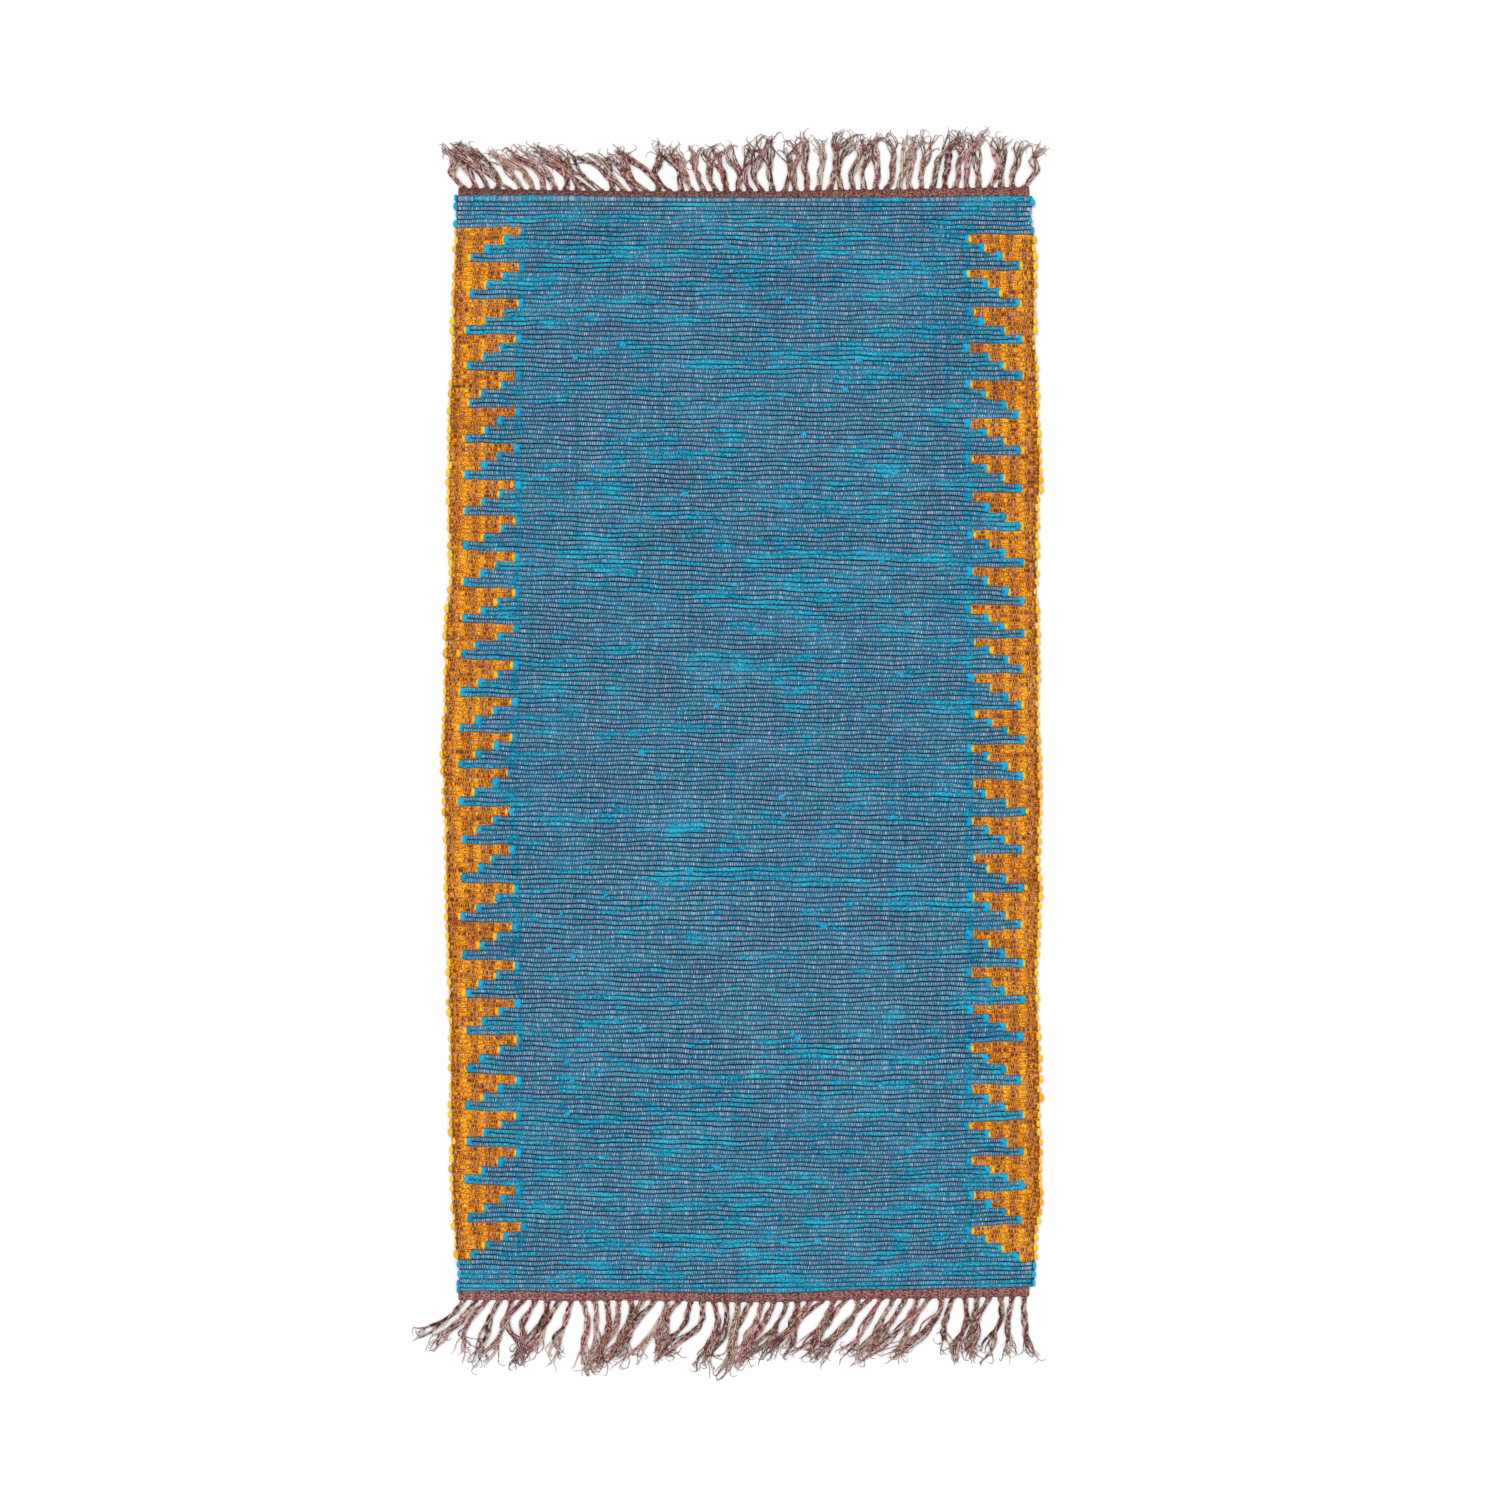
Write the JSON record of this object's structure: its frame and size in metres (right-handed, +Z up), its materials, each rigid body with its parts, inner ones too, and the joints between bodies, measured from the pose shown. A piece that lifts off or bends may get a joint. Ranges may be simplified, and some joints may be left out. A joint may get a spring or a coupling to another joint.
{
  "type": "handwoven cotton rug",
  "caption": "Flat rectangular rug in a ribbed weave, with a stepped-triangle border along both long sides and a knotted fringe at each end.",
  "frame": {"origin": "centre of the underside of the woven field, on the floor", "axes": "+Y along the rug to its far fringe, +X across it to its right selvedge, +Z up out of its face"},
  "size_m": [0.845, 1.6873, 0.0056],
  "materials": {
    "blue_weave": "matt cotton in a ribbed blue weave with stepped gold borders",
    "warp_yarn": "matt twisted cotton yarn in brown, dusty pink, olive and tan"
  },
  "bodies": {
    "root": {"woven_field": "blue_weave", "fringe_far": "warp_yarn", "fringe_near": "warp_yarn"}
  },
  "joints": []
}
